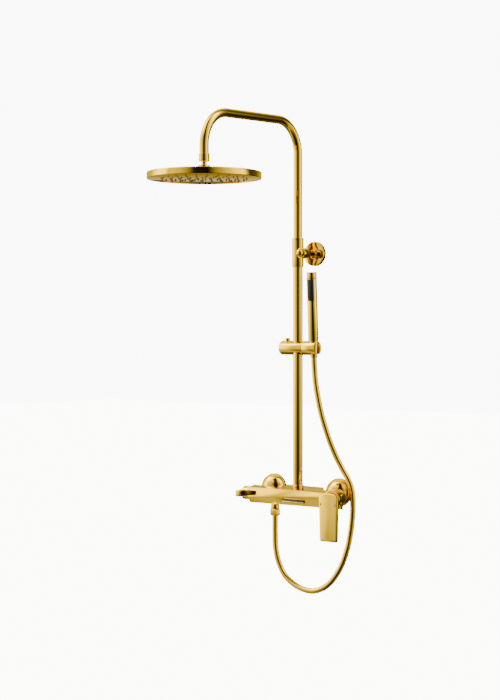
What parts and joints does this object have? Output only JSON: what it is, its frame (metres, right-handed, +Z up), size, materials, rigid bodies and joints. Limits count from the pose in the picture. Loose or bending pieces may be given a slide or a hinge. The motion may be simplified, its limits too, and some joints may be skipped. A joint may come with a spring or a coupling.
{
  "type": "rainfall shower column",
  "caption": "Wall-hung shower column: mixer bar with waterfall slot, telescopic riser, bent arm with round overhead rose, and a stick hand shower on a sliding holder with a hose.",
  "frame": {"origin": "on the wall plane, midway between the two water inlets", "axes": "+Z up, -Y out of the wall towards the user, +X to the right as seen from the front of the wall"},
  "size_m": [0.298, 0.498, 1.1011],
  "materials": {
    "polished_gold": "mirror-polished gold plating on brass",
    "gold_hose": "smooth gold-coloured hose skin",
    "black_rubber": "matt black spray panel",
    "nozzle_silicone": "soft translucent nozzles",
    "seal_rubber": "black seal rubber",
    "white_polymer": "moulded cartridge and bush plastic",
    "raw_brass": "machined brass",
    "stainless": "machined stainless steel",
    "hot_red": "red enamel mark",
    "cold_blue": "blue enamel mark"
  },
  "bodies": {
    "frame": {"mixer_body": "polished_gold", "waterfall_lip": "polished_gold", "mixing_cartridge": "white_polymer", "cartridge_nut": "raw_brass", "diverter_cartridge": "white_polymer", "riser_collar": "polished_gold", "left_wall_ring": "polished_gold", "right_wall_ring": "polished_gold", "left_cover_dome": "polished_gold", "right_cover_dome": "polished_gold", "left_union": "raw_brass", "right_union": "raw_brass", "left_inlet_washer": "seal_rubber", "right_inlet_washer": "seal_rubber", "lower_riser_tube": "polished_gold", "riser_coupling": "polished_gold", "coupling_seal": "seal_rubber", "wall_rod": "polished_gold", "rod_washer": "seal_rubber", "rod_cap": "polished_gold", "wall_flange": "polished_gold", "anchor_plate": "stainless", "outlet_nipple": "polished_gold", "hose_nut": "polished_gold", "shower_hose": "gold_hose"},
    "arm_bush": {"tube_bush": "white_polymer"},
    "arm": {"upper_arm_tube": "polished_gold", "rose_nut": "polished_gold", "flow_restrictor": "white_polymer"},
    "ball": {"rose_ball": "stainless"},
    "rose": {"rose_neck": "polished_gold", "rose_shell": "polished_gold", "rose_face_plate": "polished_gold", "nozzle_mat": "nozzle_silicone"},
    "turret": {"cartridge_turret": "white_polymer"},
    "lever": {"lever_handle": "polished_gold", "cartridge_stem": "stainless", "hot_mark": "hot_red", "cold_mark": "cold_blue"},
    "diverter": {"diverter_knob": "polished_gold", "diverter_spindle": "stainless", "knob_cap": "polished_gold"},
    "slider_liner": {"slider_bush": "white_polymer"},
    "slider": {"slider_clamp": "polished_gold"},
    "lock": {"lock_button": "polished_gold"},
    "holder": {"shower_holder": "polished_gold", "holder_pin": "stainless"},
    "hand_shower": {"hand_shower_body": "polished_gold", "spray_panel": "black_rubber", "hand_shower_cap": "polished_gold", "hose_cone": "polished_gold"}
  },
  "joints": [
    {"name": "arm_height", "type": "slide", "parent": "frame", "child": "arm_bush", "axis": [0, 0, 1], "range_m": [-0.15, 0.25]},
    {"name": "arm_swivel", "type": "hinge", "parent": "arm_bush", "child": "arm", "pos_m": [0, -0.038, 0.5875], "axis": [0, 0, 1], "range_deg": [-70, 70]},
    {"name": "rose_tilt_x", "type": "hinge", "parent": "arm", "child": "ball", "pos_m": [0, -0.374, 0.741], "axis": [1, 0, 0], "range_deg": [-15, 15]},
    {"name": "rose_tilt_y", "type": "hinge", "parent": "ball", "child": "rose", "pos_m": [0, -0.374, 0.741], "axis": [0, 1, 0], "range_deg": [-15, 15]},
    {"name": "lever_temperature", "type": "hinge", "parent": "frame", "child": "turret", "pos_m": [0.118, -0.055, -0.008], "axis": [0, 1, 0], "range_deg": [-45, 45]},
    {"name": "lever_flow", "type": "hinge", "parent": "turret", "child": "lever", "pos_m": [0.118, -0.055, -0.008], "axis": [-1, 0, 0], "range_deg": [0, 17]},
    {"name": "diverter_turn", "type": "hinge", "parent": "frame", "child": "diverter", "pos_m": [-0.134, -0.044, -0.014], "axis": [1, 0, 0], "range_deg": [-60, 60]},
    {"name": "slider_height", "type": "slide", "parent": "frame", "child": "slider_liner", "axis": [0, 0, 1], "range_m": [-0.2, 0.005], "deforming": ["shower_hose"]},
    {"name": "slider_swivel", "type": "hinge", "parent": "slider_liner", "child": "slider", "pos_m": [0, -0.038, 0.332], "axis": [0, 0, 1], "range_deg": [-30, 20]},
    {"name": "lock_press", "type": "slide", "parent": "slider", "child": "lock", "axis": [0, 0, -1], "range_m": [0, 0.003], "stiffness_N_per_m": 400},
    {"name": "holder_tilt", "type": "hinge", "parent": "slider", "child": "holder", "pos_m": [0.0204, -0.038, 0.332], "axis": [1, 0, 0], "range_deg": [-10, 60]},
    {"name": "hand_shower_lift", "type": "slide", "parent": "holder", "child": "hand_shower", "axis": [0, -0.0488, 0.9988], "range_m": [0, 0.025]}
  ]
}
